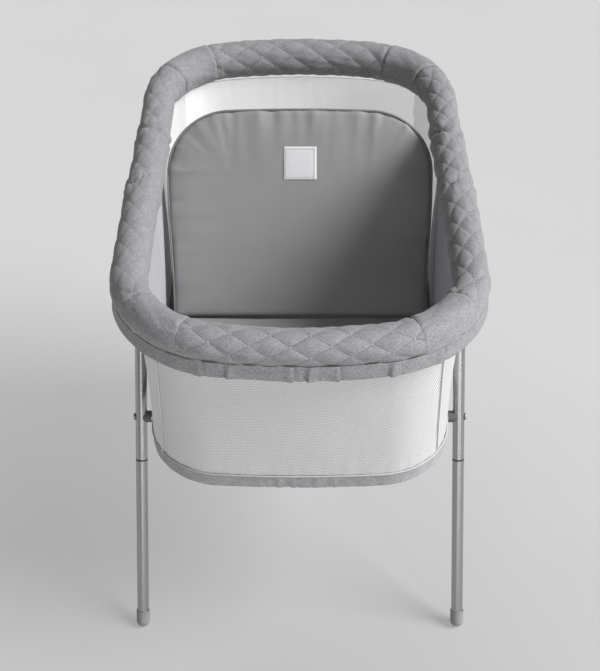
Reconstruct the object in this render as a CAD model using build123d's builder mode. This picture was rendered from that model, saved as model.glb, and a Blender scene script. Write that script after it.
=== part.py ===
from build123d import *
from math import asin, atan2, cos, hypot, radians, sin, sqrt
import os

# A folding bassinet on an A-frame stand.
#
# Millimetres, +Z up. The origin is on the floor under the middle of the basket, X runs across
# it and Y along it: the foot end is at -Y ("front"), the head end at +Y ("rear"), and "left"
# is at -X. Both rim halves and both leg frames turn about one line, the hub axis, which runs
# along X through the middle of the rim.

os.makedirs("parts", exist_ok=True)

# ---- driving dimensions -------------------------------------------------------------------
RIM_Z = 715.0            # hub axis and rim tube above the floor
RIM_HALF_WIDTH = 250.0   # centre of the padded roll
RIM_HALF_LENGTH = 413.0
RIM_CORNER = 152.0       # plan radius of the roll's centre line at the corners
RIM_END_RADIUS = 750.0   # the two ends bow gently outwards
RIM = (RIM_HALF_WIDTH, RIM_HALF_LENGTH, RIM_CORNER, RIM_END_RADIUS)
ROLL_R = 30.0
TUBE_INSET = 10.0        # the rim tube runs inside the roll's centre line
RIM_TUBE_R = 8.0
RIM_TUBE_WALL = 1.2

LEG_R = 10.0
LEG_WALL = 1.2
FOOT_SPREAD = 333.0      # foot centres to the middle, along Y
FOOT_HALF_WIDTH = 278.0
HUB_LEG_X = 261.0        # leg centre line beside the hub
LEG_OFFSET = 12.5        # leg centre line to the hub axis, so that closed legs lie side by side
LEG_JOINT_Z = 288.0      # where the lower leg plugs in
CROSS_BAR_Z = 358.0
CROSS_BAR_R = 10.0
FOOT_R = 11.5
FOOT_Z = 11.1            # centre of the ball-shaped foot; the floor cuts a small flat on it
FOOT_CAP_LENGTH = 20.0

BOLT_R = 3.95            # pivot bolt shank
BORE_R = 4.0
TANG_R = 13.0
SLEEVE_HALF_LENGTH = 95.0

BAG_DEPTH = 326.0        # rim centre to the underside of the basket
BAG_TOP_DEPTH = 32.0
BAND_HEIGHT = 28.0       # fabric band round the foot of the mesh wall
BAG_WALL = 3.0
HALF_GAP = 0.25          # each basket half stops this far from the middle
BOARD_THICKNESS = 2.5

PAD_TOP_DEPTH = 280.4    # rim centre to the mattress top, and to the fold line
PAD_HALF_WIDTH = 225.0
PAD_LENGTH = 360.0
PAD_CORNER = 110.0
BACK_ANGLE = 60.0        # the head half of the mattress stands at this angle
HEAD_FOAM = 30.0
HEAD_BOARD = 3.0
LABEL_SIDE = 57.0
LABEL_ALONG = 268.0      # label centre, from the fold line

PROP_R = 2.5
PROP_ALONG = 120.0       # prop pivot, from the fold line
PROP_HALF_WIDTH = 120.0
PROP_RATIO = 0.72        # prop angle to the floor over mattress angle to the floor
PROP_FOOT_LIFT = 1.6     # so that the wire's foot clears the floor over its whole travel

SIDES = {"left": -1, "right": 1}
ENDS = {"front": -1, "rear": 1}


def write(part, name):
    """Labels a finished piece and writes its STEP file."""
    part.label = name
    export_step(part, f"parts/{name}.step")


# ---- plan outlines ------------------------------------------------------------------------
def outline_points(end, width, length, corner, bow):
    """Points of a half outline: side, corner arc and bowed end, for one end of the basket."""
    end_centre = length - bow
    corner_x = width - corner
    corner_y = end_centre + sqrt((bow - corner) ** 2 - corner_x**2)
    reach = (corner_y - end_centre) / (bow - corner)
    half_turn = asin(reach) / 2
    start = (width, corner_y)
    middle = (corner_x + corner * cos(half_turn), corner_y + corner * sin(half_turn))
    meet = (corner_x * bow / (bow - corner), end_centre + reach * bow)
    tip = (0, length)
    return [(x, end * y) for x, y in (start, middle, meet, tip)]


def half_outline(end, start_y, width, length, corner, bow):
    """Draws the open half outline from one side to the other, inside a BuildLine block."""
    side, middle, meet, tip = outline_points(end, width, length, corner, bow)

    def other(point):
        return (-point[0], point[1])

    Line((width, end * start_y), side)
    ThreePointArc(side, middle, meet)
    ThreePointArc(meet, tip, other(meet))
    ThreePointArc(other(meet), other(middle), other(side))
    Line(other(side), (-width, end * start_y))


def half_face(plane, end, start_y, width, length, corner, bow):
    """The closed half outline as a face on a plane, for an extrude or a loft."""
    with BuildSketch(plane) as face:
        with BuildLine():
            half_outline(end, start_y, width, length, corner, bow)
            Line((-width, end * start_y), (width, end * start_y))
        make_face()
    return face.sketch.faces()[0]


def rim_path(end, start_y, inset, height=RIM_Z):
    """The line of the rim, inset from the roll's centre line, for one half."""
    with BuildLine(Plane.XY.offset(height)) as path:
        half_outline(end, start_y, *[v - inset for v in RIM])
    return path.wire()


def section_plane(path):
    """The plane square to a path at its start."""
    return Plane(origin=path @ 0, z_dir=path % 0)


# ---- legs: where they run -----------------------------------------------------------------
FOOT_TO_HUB = hypot(FOOT_SPREAD, RIM_Z - FOOT_Z)
LEAN = atan2(FOOT_SPREAD, RIM_Z - FOOT_Z) - asin(LEG_OFFSET / FOOT_TO_HUB)
LEG_RUN = Vector(
    HUB_LEG_X - FOOT_HALF_WIDTH,
    sqrt(FOOT_TO_HUB**2 - LEG_OFFSET**2) * sin(LEAN),
    sqrt(FOOT_TO_HUB**2 - LEG_OFFSET**2) * cos(LEAN),
)
LEG_AT_HUB = LEG_RUN.length  # from the middle of the foot to the point beside the hub axis
LEG_TOP = LEG_AT_HUB - 28.0
SHOULDER_TOP = LEG_AT_HUB - 18.0
LEG_JOINT = LEG_AT_HUB * (LEG_JOINT_Z - FOOT_Z) / LEG_RUN.Z
BAR_ALONG = LEG_AT_HUB * (CROSS_BAR_Z - FOOT_Z) / LEG_RUN.Z
COLLAR = 3.0             # dark ring between the upper and the lower tube
NECK = 60.0              # how far the lower tube goes into the upper one
NECK_R = 7.92
BUSH_R = 8.0


def leg_plane(side, end, along):
    """The plane square to a leg, a distance up from the middle of its round foot."""
    foot = Vector(side * FOOT_HALF_WIDTH, end * FOOT_SPREAD, FOOT_Z)
    up = Vector(side * LEG_RUN.X, -end * LEG_RUN.Y, LEG_RUN.Z).normalized()
    return Plane(origin=foot + up * along, z_dir=up)


def leg_upper(side, end):
    bottom = LEG_JOINT + COLLAR / 2
    bar = leg_plane(side, end, BAR_ALONG).origin
    with BuildPart() as tube:
        with BuildSketch(leg_plane(side, end, bottom)):
            Circle(LEG_R)
            Circle(LEG_R - LEG_WALL, mode=Mode.SUBTRACT)
        extrude(amount=LEG_TOP - bottom)
        with BuildSketch(Plane.YZ.offset(bar.X - 2 * LEG_R)):
            with Locations((bar.Y, bar.Z)):
                Circle(3.05)
        extrude(amount=4 * LEG_R, mode=Mode.SUBTRACT)
    return tube.part


def leg_bush(side, end):
    """Plastic sleeve in the upper tube's mouth, with the collar that shows as a dark ring."""
    with BuildPart() as bush:
        with BuildSketch(leg_plane(side, end, LEG_JOINT - COLLAR / 2)):
            Circle(LEG_R + 0.3)
            Circle(BUSH_R, mode=Mode.SUBTRACT)
        extrude(amount=COLLAR)
        with BuildSketch(leg_plane(side, end, LEG_JOINT + COLLAR / 2)):
            Circle(LEG_R - LEG_WALL - 0.02)
            Circle(BUSH_R, mode=Mode.SUBTRACT)
        extrude(amount=28)
    return bush.part


def leg_lower(side, end):
    top = LEG_JOINT - COLLAR / 2 - 0.1
    with BuildPart() as tube:
        with BuildSketch(leg_plane(side, end, 2)):
            Circle(LEG_R)
        extrude(amount=top - 2)
        with BuildSketch(leg_plane(side, end, top)):
            Circle(NECK_R)
        extrude(amount=NECK)
        with BuildSketch(leg_plane(side, end, 2)):
            Circle(LEG_R - LEG_WALL)
        extrude(amount=top - 6, mode=Mode.SUBTRACT)
        with BuildSketch(leg_plane(side, end, top - 4)):
            Circle(NECK_R - LEG_WALL)
        extrude(amount=NECK + 4, mode=Mode.SUBTRACT)
    return tube.part


def foot_cap(side, end):
    """Grey plastic cap with a ball-shaped end and a small flat that the leaning leg stands on."""
    below_floor = Plane((side * FOOT_HALF_WIDTH, end * FOOT_SPREAD, 0))
    with BuildPart() as cap:
        with BuildSketch(leg_plane(side, end, 0)):
            Circle(FOOT_R)
        extrude(amount=FOOT_CAP_LENGTH)
        with Locations(leg_plane(side, end, 0)):
            Sphere(FOOT_R)
        with BuildSketch(leg_plane(side, end, 2)):
            Circle(LEG_R + 0.02)
        extrude(amount=FOOT_CAP_LENGTH, mode=Mode.SUBTRACT)
        with BuildSketch(below_floor):
            Circle(2 * FOOT_R)
        extrude(amount=-FOOT_R, mode=Mode.SUBTRACT)
    return cap.part


def leg_knuckle(side, end):
    """Moulded leg top: a plug in the tube, a shoulder, and a tang with the pivot bore."""
    inner, outer = KNUCKLE_X[end]
    low = min(side * inner, side * outer)
    seat = leg_plane(side, end, SHOULDER_TOP).origin
    with BuildPart() as knuckle:
        with BuildSketch(leg_plane(side, end, LEG_TOP - 32)):
            Circle(LEG_R - LEG_WALL - 0.02)
        extrude(amount=32)
        with BuildSketch(leg_plane(side, end, LEG_TOP)):
            Circle(LEG_R)
        extrude(amount=SHOULDER_TOP - LEG_TOP)
        with BuildSketch(Plane.YZ.offset(low)):
            with Locations((0, RIM_Z)):
                Circle(TANG_R)
            with Locations((seat.Y, seat.Z)):
                Circle(8.5)
            make_hull()
        extrude(amount=outer - inner)
        with BuildSketch(Plane.YZ.offset(low - 1)):
            with Locations((0, RIM_Z)):
                Circle(BORE_R)
        extrude(amount=outer - inner + 2, mode=Mode.SUBTRACT)
    return knuckle.part


# ---- hub stack: inner and outer face of each tang on the hub axis, from the middle out ----
NUT_X = (228.0, 233.6)
PLUG_X = {-1: (234.0, 239.4), 1: (239.8, 245.2)}
SPACER_X = (245.5, 250.9)
KNUCKLE_X = {1: (251.2, 260.4), -1: (260.8, 270.0)}
HEAD_X = (270.3, 274.0)
RIM_TUBE_START = 34.0    # rim tube ends this far from the hub axis
COLLAR_START = 20.0
BUTTON_Y = -27.0
BUTTON_R = 4.0
BUTTON_X = (229.5, 237.0)
BUTTON_BORE_DEPTH = 242.0


def axial_disc(side, span, radius, y=0.0, hole=0.0):
    """A round piece along X beside the middle of the rim, at the rim's height."""
    low = min(side * span[0], side * span[1])
    with BuildPart() as disc:
        with BuildSketch(Plane.YZ.offset(low)):
            with Locations((y, RIM_Z)):
                Circle(radius)
                if hole:
                    Circle(hole, mode=Mode.SUBTRACT)
        extrude(amount=span[1] - span[0])
    return disc.part


def rim_plug(side, end):
    """Moulded rim end: a plug in the rim tube, a collar, and a tang with the pivot bore."""
    centre = side * (RIM_HALF_WIDTH - TUBE_INSET)
    inner, outer = PLUG_X[end]
    low = min(side * inner, side * outer)
    with BuildPart() as plug:
        with BuildSketch(Plane.XZ.offset(-end * COLLAR_START)):
            with Locations((centre, RIM_Z)):
                Circle(RIM_TUBE_R)
        extrude(amount=-end * (RIM_TUBE_START - COLLAR_START))
        with BuildSketch(Plane.XZ.offset(-end * RIM_TUBE_START)):
            with Locations((centre, RIM_Z)):
                Circle(RIM_TUBE_R - RIM_TUBE_WALL - 0.02)
        extrude(amount=-end * 30)
        with BuildSketch(Plane.YZ.offset(low)):
            with Locations((0, RIM_Z)):
                Circle(TANG_R)
            with Locations((end * (COLLAR_START + 3), RIM_Z)):
                Circle(RIM_TUBE_R - 0.5)
            make_hull()
        extrude(amount=outer - inner)
        with BuildSketch(Plane.YZ.offset(low - 1)):
            with Locations((0, RIM_Z)):
                Circle(BORE_R)
        extrude(amount=outer - inner + 2, mode=Mode.SUBTRACT)
        if end == ENDS["front"]:
            with BuildSketch(Plane.YZ.offset(side * BUTTON_BORE_DEPTH)):
                with Locations((BUTTON_Y, RIM_Z)):
                    Circle(BUTTON_R + 0.06)
            extrude(amount=-side * 20, mode=Mode.SUBTRACT)
    return plug.part


def both_sides(make):
    """One node's part made of a left and a right solid."""
    return Part() + [make(SIDES["left"]), make(SIDES["right"])]


def pivot_bolt(side):
    shank = axial_disc(side, (NUT_X[0], HEAD_X[0]), BOLT_R)
    head = axial_disc(side, HEAD_X, 7.0)
    return shank + head


def pivot_nut(side):
    low = min(side * NUT_X[0], side * NUT_X[1])
    with BuildPart() as nut:
        with BuildSketch(Plane.YZ.offset(low)):
            with Locations((0, RIM_Z)):
                RegularPolygon(7.0, 6)
                Circle(BOLT_R + 0.02, mode=Mode.SUBTRACT)
        extrude(amount=NUT_X[1] - NUT_X[0])
    return nut.part


# ---- rim: tube, padded roll, sleeve and skirt ----------------------------------------------
def rim_tube(end):
    path = rim_path(end, RIM_TUBE_START, TUBE_INSET)
    with BuildPart() as tube:
        with BuildSketch(section_plane(path)):
            Circle(RIM_TUBE_R)
            Circle(RIM_TUBE_R - RIM_TUBE_WALL, mode=Mode.SUBTRACT)
        sweep(path=path)
    return tube.part


def rim_roll(end):
    """Foam roll with its channel for the rim tube."""
    path = rim_path(end, SLEEVE_HALF_LENGTH + 0.5, 0)
    channel = rim_path(end, SLEEVE_HALF_LENGTH - 5, TUBE_INSET)
    with BuildPart() as roll:
        with BuildSketch(section_plane(path)):
            Circle(ROLL_R)
        sweep(path=path)
        with BuildSketch(section_plane(channel)):
            Circle(RIM_TUBE_R + 0.3)
        sweep(path=channel, mode=Mode.SUBTRACT)
    return roll.part


def hub_sleeve(side):
    """Thin padded sleeve over a hub, open below for the two legs."""
    with BuildPart() as sleeve:
        with BuildSketch(Plane.XZ.offset(-SLEEVE_HALF_LENGTH)):
            with Locations((side * RIM_HALF_WIDTH, RIM_Z)):
                Circle(ROLL_R)
                RectangleRounded(51, 44, 14, mode=Mode.SUBTRACT)
            with Locations((side * RIM_HALF_WIDTH, RIM_Z - ROLL_R - 4)):
                Rectangle(3 * ROLL_R, 2 * ROLL_R, mode=Mode.SUBTRACT)
        extrude(amount=2 * SLEEVE_HALF_LENGTH)
    return sleeve.part


SKIRT_OFFSET = (27.0, 29.5)   # inner and outer face, out from the roll's centre line
SKIRT_TOP = -14.0
SKIRT_BOTTOM = -40.0


def skirt(end):
    """Cloth valance that hangs from the outside of the roll."""
    bottom = Plane.XY.offset(RIM_Z + SKIRT_BOTTOM)
    with BuildPart() as band:
        for inset, start_y, mode in (
            (-SKIRT_OFFSET[1], HALF_GAP, Mode.ADD),
            (-SKIRT_OFFSET[0], -5, Mode.SUBTRACT),
        ):
            face = half_face(bottom, end, start_y, *[v - inset for v in RIM])
            extrude(face, amount=SKIRT_TOP - SKIRT_BOTTOM, mode=mode)
    return band.part


# ---- basket -------------------------------------------------------------------------------
BAG_RIM = (248.5, 405.0, 130.0, 750.0)      # half width, half length, corner, bow
BAG_FLOOR = (240.0, 373.5, 120.0, 2000.0)
BAND_TOP_DEPTH = BAG_DEPTH - BAND_HEIGHT


def basket_size(depth, inset):
    """The basket's outline at a depth below the rim: half width, half length, corner, bow."""
    share = (depth - BAG_TOP_DEPTH) / (BAG_DEPTH - BAG_TOP_DEPTH)
    return [a + share * (b - a) - inset for a, b in zip(BAG_RIM, BAG_FLOOR)]


def basket_face(end, start_y, depth, inset):
    plane = Plane.XY.offset(RIM_Z - depth)
    return half_face(plane, end, start_y, *basket_size(depth, inset))


def basket_layer(end, upper, lower, floor):
    """Part of the basket's wall between two depths, with a floor or without."""
    with BuildPart() as layer:
        loft([basket_face(end, HALF_GAP, depth, 0) for depth in (upper, lower)])
        inner_bottom = lower - BAG_WALL if floor else lower + 1
        hollow = [basket_face(end, -5, depth, BAG_WALL) for depth in (upper - 1, inner_bottom)]
        loft(hollow, mode=Mode.SUBTRACT)
    return layer.part


def base_board(end):
    """Stiff panel on the basket's floor."""
    width, length, corner, bow = basket_size(BAG_DEPTH, BAG_WALL + 1.5)
    top_of_floor = RIM_Z - BAG_DEPTH + BAG_WALL
    plane = Plane.XY.offset(top_of_floor + 0.2)
    with BuildPart() as board:
        extrude(half_face(plane, end, 1, width, length, corner, bow), amount=BOARD_THICKNESS)
    return board.part


BOARD_TOP = RIM_Z - BAG_DEPTH + BAG_WALL + 0.2 + BOARD_THICKNESS


# ---- mattress -----------------------------------------------------------------------------
FOLD_Z = RIM_Z - PAD_TOP_DEPTH
PAD = (PAD_HALF_WIDTH, PAD_LENGTH, PAD_CORNER, 3000.0)
BACK_LEAN = radians(BACK_ANGLE)
BACK_NORMAL = Vector(0, -sin(BACK_LEAN), cos(BACK_LEAN))
BACK_UP = Vector(0, cos(BACK_LEAN), sin(BACK_LEAN))


def back_plane(depth):
    """A plane parallel to the raised half's top, below it, with Y up the mattress."""
    origin = Vector(0, 0, FOLD_Z) - BACK_NORMAL * depth
    return Plane(origin=origin, x_dir=(1, 0, 0), z_dir=BACK_NORMAL)


def mattress_foot():
    with BuildPart() as pad:
        bottom = Plane.XY.offset(BOARD_TOP + 0.3)
        extrude(half_face(bottom, ENDS["front"], 1, *PAD), amount=FOLD_Z - bottom.origin.Z)
        fillet(pad.faces().sort_by(Axis.Z)[-1].edges(), 8)
    return pad.part


def head_layer(upper, thickness, inset):
    """A layer of the raised half, so far below its top and so thick."""
    with BuildPart() as layer:
        bottom = back_plane(upper + thickness)
        extrude(half_face(bottom, 1, 1 + inset, *[v - inset for v in PAD]), amount=thickness)
    return layer.part


def mattress_head():
    with BuildPart() as pad:
        add(head_layer(0, HEAD_FOAM, 0))
        top = pad.faces().sort_by(Axis(origin=(0, 0, FOLD_Z), direction=BACK_NORMAL))[-1]
        fillet(top.edges(), 8)
    return pad.part


def label_patch():
    with BuildPart() as label:
        with BuildSketch(back_plane(-0.1)):
            with Locations((0, LABEL_ALONG)):
                RectangleRounded(LABEL_SIDE, LABEL_SIDE, 2)
        extrude(amount=0.9)
    return label.part


PROP_DEPTH = HEAD_FOAM + HEAD_BOARD + 0.7 + PROP_R   # prop pivot below the mattress top
PROP_ANGLE = radians(PROP_RATIO * BACK_ANGLE)
PROP_PIVOT = back_plane(PROP_DEPTH).origin + BACK_UP * PROP_ALONG
PROP_LENGTH = (PROP_PIVOT.Z - BOARD_TOP - PROP_R - PROP_FOOT_LIFT) / sin(PROP_ANGLE)


def prop_clip(side):
    """Clip on the head board that holds the prop's upper bar."""
    with BuildPart() as clip:
        with BuildSketch(back_plane(PROP_DEPTH + 3.2)):
            with Locations((side * 70, PROP_ALONG)):
                Rectangle(16, 16)
        extrude(amount=PROP_DEPTH + 3.2 - HEAD_FOAM - HEAD_BOARD - 0.4)
        with BuildSketch(Plane.YZ.offset(side * 70 - 10)):
            with Locations((PROP_PIVOT.Y, PROP_PIVOT.Z)):
                Circle(PROP_R + 0.06)
        extrude(amount=20, mode=Mode.SUBTRACT)
    return clip.part


def backrest_prop():
    """Closed wire frame that stands between the head board and the basket's floor."""
    plane = Plane(
        origin=PROP_PIVOT,
        x_dir=(1, 0, 0),
        z_dir=(0, sin(PROP_ANGLE), cos(PROP_ANGLE)),
    )
    with BuildSketch(plane) as frame:
        with Locations((0, PROP_LENGTH / 2)):
            RectangleRounded(2 * PROP_HALF_WIDTH, PROP_LENGTH, 14)
    path = frame.sketch.faces()[0].outer_wire()
    with BuildPart() as prop:
        with BuildSketch(section_plane(path)):
            Circle(PROP_R)
        sweep(path=path)
    return prop.part


# ---- stand cross bars ---------------------------------------------------------------------
def bar_end(end):
    """Where a cross bar meets the right leg's centre line."""
    return leg_plane(1, end, BAR_ALONG).origin


def cross_bar(end):
    meet = bar_end(end)
    half = meet.X - LEG_R - 8
    with BuildPart() as bar:
        with BuildSketch(Plane.YZ.offset(-half)):
            with Locations((meet.Y, meet.Z)):
                Circle(CROSS_BAR_R)
                Circle(CROSS_BAR_R - LEG_WALL, mode=Mode.SUBTRACT)
        extrude(amount=2 * half)
    return bar.part


def bar_saddle(side, end):
    """Plastic end of a cross bar: a plug in the bar and a saddle that fits round the leg."""
    meet = bar_end(end)
    half = meet.X - LEG_R - 8
    with BuildPart() as saddle:
        with BuildSketch(Plane.YZ.offset(side * half)):
            with Locations((meet.Y, meet.Z)):
                Circle(CROSS_BAR_R)
        extrude(amount=side * 14)
        with BuildSketch(Plane.YZ.offset(side * (half - 25))):
            with Locations((meet.Y, meet.Z)):
                Circle(CROSS_BAR_R - LEG_WALL - 0.02)
        extrude(amount=side * 25)
        with BuildSketch(leg_plane(side, end, BAR_ALONG - 30)):
            Circle(LEG_R + 0.02)
        extrude(amount=60, mode=Mode.SUBTRACT)
        with BuildSketch(Plane.YZ.offset(side * (half - 15))):
            with Locations((meet.Y, meet.Z)):
                Circle(3.05)
        extrude(amount=side * 40, mode=Mode.SUBTRACT)
    return saddle.part


def bar_bolt(side, end):
    """Bolt through a leg into the cross bar, with a shallow domed head outside."""
    meet = bar_end(end)
    outside = side * (meet.X + LEG_R + 0.3)
    inside = side * (meet.X - LEG_R - 20)
    with BuildPart() as bolt:
        with BuildSketch(Plane.YZ.offset(inside)):
            with Locations((meet.Y, meet.Z)):
                Circle(3.0)
        extrude(amount=outside - inside)
        with BuildSketch(Plane.YZ.offset(outside)):
            with Locations((meet.Y, meet.Z)):
                Circle(6.0)
        extrude(amount=side * 2.6)
        head = bolt.faces().sort_by(Axis.X)[-1 if side > 0 else 0]
        fillet(head.edges(), 1.8)
    return bolt.part


# ---- write every piece --------------------------------------------------------------------
for end_name, end_sign in ENDS.items():
    write(rim_tube(end_sign), f"rim_tube_{end_name}")
    write(rim_roll(end_sign), f"rim_roll_{end_name}")
    write(skirt(end_sign), f"skirt_{end_name}")
    write(basket_layer(end_sign, BAG_TOP_DEPTH, BAND_TOP_DEPTH, False), f"basket_wall_{end_name}")
    write(basket_layer(end_sign, BAND_TOP_DEPTH, BAG_DEPTH, True), f"basket_base_{end_name}")
    write(base_board(end_sign), f"base_board_{end_name}")
    write(cross_bar(end_sign), f"cross_bar_{end_name}")
    write(both_sides(lambda s, e=end_sign: bar_saddle(s, e)), f"bar_saddles_{end_name}")
    write(both_sides(lambda s, e=end_sign: bar_bolt(s, e)), f"bar_bolts_{end_name}")
    write(both_sides(lambda s, e=end_sign: leg_bush(s, e)), f"leg_bushes_{end_name}")
    for side_name, side_sign in SIDES.items():
        place = f"{end_name}_{side_name}"
        write(leg_upper(side_sign, end_sign), f"leg_upper_{place}")
        write(leg_lower(side_sign, end_sign), f"leg_lower_{place}")
        write(foot_cap(side_sign, end_sign), f"foot_cap_{place}")
        write(leg_knuckle(side_sign, end_sign), f"leg_knuckle_{place}")
        write(rim_plug(side_sign, end_sign), f"rim_plug_{place}")

for side_name, side_sign in SIDES.items():
    write(hub_sleeve(side_sign), f"hub_sleeve_{side_name}")
    write(axial_disc(side_sign, BUTTON_X, BUTTON_R, BUTTON_Y), f"fold_button_{side_name}")
    spring = (BUTTON_X[1] + 0.1, BUTTON_BORE_DEPTH - 0.1)
    write(axial_disc(side_sign, spring, 3.2, BUTTON_Y, 2.2), f"button_spring_{side_name}")

write(both_sides(pivot_bolt), "pivot_bolts")
write(both_sides(pivot_nut), "pivot_nuts")
write(both_sides(lambda s: axial_disc(s, SPACER_X, 9.0, 0, BORE_R)), "hub_spacers")
write(mattress_foot(), "mattress_foot")
write(mattress_head(), "mattress_head")
write(head_layer(HEAD_FOAM + 0.2, HEAD_BOARD, 6), "head_board")
write(label_patch(), "label_patch")
write(both_sides(prop_clip), "prop_clips")
write(backrest_prop(), "backrest_prop")
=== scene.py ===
import math

import bmesh
import bpy
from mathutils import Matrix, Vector, noise


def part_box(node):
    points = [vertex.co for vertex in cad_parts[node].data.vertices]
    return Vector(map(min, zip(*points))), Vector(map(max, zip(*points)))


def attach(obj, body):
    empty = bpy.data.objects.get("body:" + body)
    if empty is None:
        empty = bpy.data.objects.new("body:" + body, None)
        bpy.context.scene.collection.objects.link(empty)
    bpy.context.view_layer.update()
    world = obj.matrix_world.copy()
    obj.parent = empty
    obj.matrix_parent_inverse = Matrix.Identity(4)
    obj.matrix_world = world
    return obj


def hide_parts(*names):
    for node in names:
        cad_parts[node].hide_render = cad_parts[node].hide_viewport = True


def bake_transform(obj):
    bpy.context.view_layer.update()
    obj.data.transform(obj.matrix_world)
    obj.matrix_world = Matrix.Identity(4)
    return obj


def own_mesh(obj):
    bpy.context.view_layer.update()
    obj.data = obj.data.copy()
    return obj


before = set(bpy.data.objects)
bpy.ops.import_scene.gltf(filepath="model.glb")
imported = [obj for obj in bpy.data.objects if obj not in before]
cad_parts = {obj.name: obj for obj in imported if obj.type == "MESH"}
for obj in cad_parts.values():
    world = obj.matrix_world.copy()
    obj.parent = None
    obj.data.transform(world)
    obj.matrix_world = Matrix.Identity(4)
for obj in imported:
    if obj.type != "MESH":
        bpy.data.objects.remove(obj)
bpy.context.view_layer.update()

# A folding bassinet: quilted rim roll, net basket, propped mattress and an A-frame stand of tube.
# The frame's +X is across the basket, -Y its foot end ("front"), +Y its head end ("rear").

SIDES = {"left": -1, "right": 1}
ENDS = {"front": -1, "rear": 1}


# ---- the frame's own sizes -------------------------------------------
roll_low, roll_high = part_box("rim_roll_front")
ROLL_R = (roll_high.z - roll_low.z) / 2
RIM_Z = (roll_high.z + roll_low.z) / 2
RIM_HALF_WIDTH = roll_high.x - ROLL_R
RIM_HALF_LENGTH = -roll_low.y - ROLL_R
# a plan outline is a half width, a half length, a corner radius and the bowed end's radius
END_BOW = 0.750
RIM = (RIM_HALF_WIDTH, RIM_HALF_LENGTH, 0.152, END_BOW)

wall_low, wall_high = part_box("basket_wall_front")
base_low, base_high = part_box("basket_base_front")
BAG_TOP = wall_high.z
BAND_TOP = base_high.z
BAG_BOTTOM = base_low.z
BAG_RIM = (wall_high.x, -wall_low.y, 0.130, END_BOW)
FLOOR_HALF_WIDTH = 0.240
FLOOR_HALF_LENGTH = 0.3735
BAG_FLOOR = (FLOOR_HALF_WIDTH, FLOOR_HALF_LENGTH, 0.120, 2.0)

foot_low, foot_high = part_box("mattress_foot")
FOLD_Z = foot_high.z
PAD = (foot_high.x, -foot_low.y + 0.004, 0.110, 3.0)   # the cover reaches just past the foam
BACK_LEAN = math.radians(60)
BACK_UP = Vector((0, math.cos(BACK_LEAN), math.sin(BACK_LEAN)))
BACK_NORMAL = Vector((0, -math.sin(BACK_LEAN), math.cos(BACK_LEAN)))
FOLD_LINE = Vector((0, 0, FOLD_Z))
HEAD_FOAM = 0.030

SKIRT_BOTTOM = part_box("skirt_front")[0].z


# ---- plan outlines ---------------------------------------------------
def quarter_lengths(size):
    """Lengths of an outline's side, corner arc and half end, and the arc's end angle."""
    width, length, corner, bow = size
    end_centre = length - bow
    corner_x = width - corner
    corner_y = end_centre + math.sqrt((bow - corner) ** 2 - corner_x**2)
    turn = math.asin((corner_y - end_centre) / (bow - corner))
    return corner_y, corner * turn, bow * (math.pi / 2 - turn), turn


def quarter_point(size, run):
    """Point and outward direction of the first quarter, at a distance from its side's middle."""
    width, length, corner, bow = size
    side, arc, half_end, turn = quarter_lengths(size)
    if run <= side:
        return width, run, 1.0, 0.0
    if run <= side + arc:
        angle = (run - side) / corner
        centre = (width - corner, side, corner)
    else:
        angle = turn + (run - side - arc) / bow
        centre = (0.0, length - bow, bow)
    x = centre[0] + centre[2] * math.cos(angle)
    y = centre[1] + centre[2] * math.sin(angle)
    return x, y, math.cos(angle), math.sin(angle)


def perimeter(size):
    return 4 * sum(quarter_lengths(size)[:3])


def outline_point(size, share):
    """Point and outward direction at a share of the way round, from the right side's middle
    over the rear end, the left side and the front end."""
    quarter = perimeter(size) / 4
    turn = (share % 1.0) * 4
    index = min(int(turn), 3)
    part = turn - index
    run = part * quarter if index % 2 == 0 else (1 - part) * quarter
    x, y, nx, ny = quarter_point(size, min(run, quarter * 0.999999))
    mirror_x = 1 if index in (0, 3) else -1
    mirror_y = 1 if index in (0, 1) else -1
    return Vector((mirror_x * x, mirror_y * y, 0)), Vector((mirror_x * nx, mirror_y * ny, 0))


def blend_sizes(a, b, share):
    return [u + (v - u) * share for u, v in zip(a, b)]


# ---- small helpers ---------------------------------------------------
def bell(distance, width):
    return math.exp(-((distance / width) ** 2))


def smooth(value, low, high):
    """0 below low, 1 above high, and a smooth step between."""
    t = min(max((value - low) / (high - low), 0.0), 1.0)
    return t * t * (3 - 2 * t)


def waves(x, y, z, octaves=3):
    """Smooth noise from -1 to 1, about."""
    return noise.fractal(Vector((x, y, z)), 1.0, 2.0, octaves, noise_basis="PERLIN_ORIGINAL")


def to_nearest(value):
    """Distance from a value to its nearest whole number."""
    return abs(value - round(value))


def new_object(name, vertices, faces, material, smooth_faces=True):
    mesh = bpy.data.meshes.new(name)
    mesh.from_pydata(vertices, [], faces)
    mesh.update()
    obj = bpy.data.objects.new(name, mesh)
    bpy.context.scene.collection.objects.link(obj)
    if material:
        mesh.materials.append(material)
    for polygon in mesh.polygons:
        polygon.use_smooth = smooth_faces
    return obj


def grid_object(name, rows, material, loop_rows=False, loop_columns=False, maps=None):
    """A quad grid from rows of points. maps gives each UV map's name and a function of the
    row and column numbers, which run past the last ones on a closed grid."""
    height = len(rows)
    width = len(rows[0])
    vertices = [p for row in rows for p in row]
    faces = []
    corners = []
    for r in range(height if loop_rows else height - 1):
        for c in range(width if loop_columns else width - 1):
            around = [(r, c), (r, c + 1), (r + 1, c + 1), (r + 1, c)]
            faces.append([(i % height) * width + j % width for i, j in around])
            corners.extend(around)
    obj = new_object(name, vertices, faces, material)
    for map_name, place in (maps or {}).items():
        layer = obj.data.uv_layers.new(name=map_name)
        for loop, (i, j) in zip(layer.data, corners):
            loop.uv = place(i, j)
    return obj


def face_outwards(obj):
    bm = bmesh.new()
    bm.from_mesh(obj.data)
    bmesh.ops.recalc_face_normals(bm, faces=bm.faces)
    bm.to_mesh(obj.data)
    bm.free()


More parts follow.
